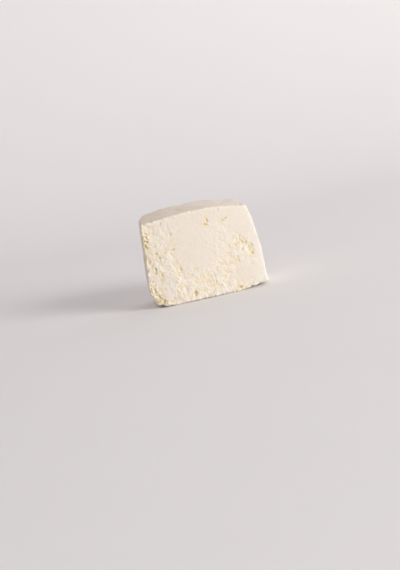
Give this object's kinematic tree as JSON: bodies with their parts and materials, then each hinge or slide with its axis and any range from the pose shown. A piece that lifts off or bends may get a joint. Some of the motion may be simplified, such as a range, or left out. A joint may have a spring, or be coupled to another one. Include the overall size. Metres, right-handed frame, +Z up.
{
  "type": "white brined cheese block",
  "caption": "Hand-cut block of white brined cheese with one broken, crumbly face, smooth curd skin on the other sides and a flat base to stand on.",
  "frame": {"origin": "middle of the flat base, under the centre of the block's bounding box", "axes": "+X to the right along the broken face, +Y from the broken face to the back, +Z up"},
  "size_m": [0.0884, 0.04, 0.0692],
  "materials": {
    "cheese": "moist, creamy white curd"
  },
  "bodies": {
    "root": {"cheese_block": "cheese"}
  },
  "joints": []
}
